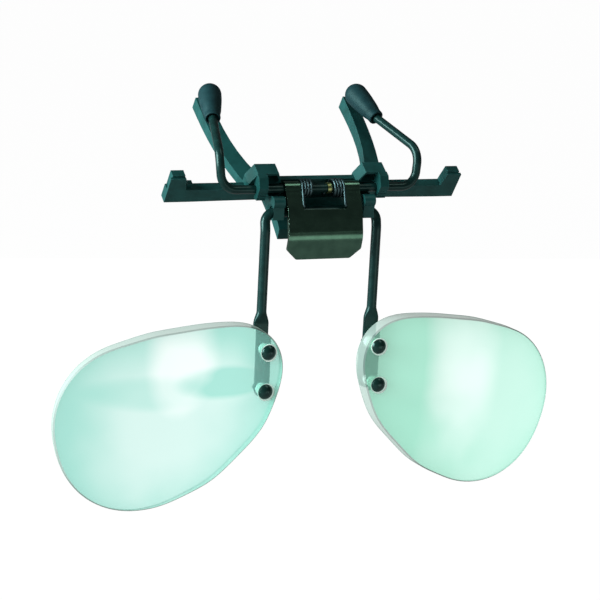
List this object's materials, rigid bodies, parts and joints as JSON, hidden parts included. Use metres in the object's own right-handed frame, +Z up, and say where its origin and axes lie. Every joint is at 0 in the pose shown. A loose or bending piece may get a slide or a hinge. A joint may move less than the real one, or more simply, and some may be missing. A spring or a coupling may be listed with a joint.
{
  "type": "clip-on flip-up dental magnifying loupes",
  "caption": "Clip-on flip-up magnifier: a sprung clamp with rubber-capped wire jaws grips spectacles, and tinted plano-convex lenses hang from a snapped-in wire.",
  "frame": {"origin": "middle of the clamp wire's axle, which the pinch lever and the clamp turn about", "axes": "+X across the face towards the right-hand lens as seen from the lens fronts, +Y away from the lens fronts, +Z up along the hanging lens arms"},
  "size_m": [0.1378, 0.0412, 0.1023],
  "materials": {
    "clip_plastic": "satin moulded plastic",
    "black_wire": "gloss black coated wire",
    "lever_steel": "satin black coated sheet steel",
    "spring_steel": "bright drawn wire",
    "brass": "plain turned",
    "rubber": "matt moulded rubber",
    "lens_glass": "polished mint tint",
    "black_screw": "gloss black",
    "nylon": "translucent white nylon"
  },
  "bodies": {
    "clip": {"clip_body": "clip_plastic"},
    "clamp": {"clamp_wire": "black_wire", "pinch_lever": "lever_steel", "axle_collar": "brass", "torsion_spring_left": "spring_steel", "torsion_spring_right": "spring_steel", "rubber_tip_left": "rubber", "rubber_tip_right": "rubber"},
    "lens_carrier": {"lens_wire": "black_wire", "lens_left": "lens_glass", "lens_right": "lens_glass", "screw_left_upper": "black_screw", "screw_left_lower": "black_screw", "screw_right_upper": "black_screw", "screw_right_lower": "black_screw", "bush_left_upper": "nylon", "bush_left_lower": "nylon", "bush_right_upper": "nylon", "bush_right_lower": "nylon", "nut_left_upper": "black_screw", "nut_left_lower": "black_screw", "nut_right_upper": "black_screw", "nut_right_lower": "black_screw"}
  },
  "joints": [
    {"name": "clamp_open", "type": "hinge", "parent": "clip", "child": "clamp", "pos_m": [0, 0, 0], "axis": [1, 0, 0], "range_deg": [0, 8], "stiffness_Nm_per_rad": 0.15, "springref_deg": -45.84, "deforming": ["torsion_spring_left", "torsion_spring_right"]},
    {"name": "lens_flip", "type": "hinge", "parent": "clip", "child": "lens_carrier", "pos_m": [0, -0.0013, -0.0057], "axis": [1, 0, 0], "range_deg": [-50, 105]}
  ]
}
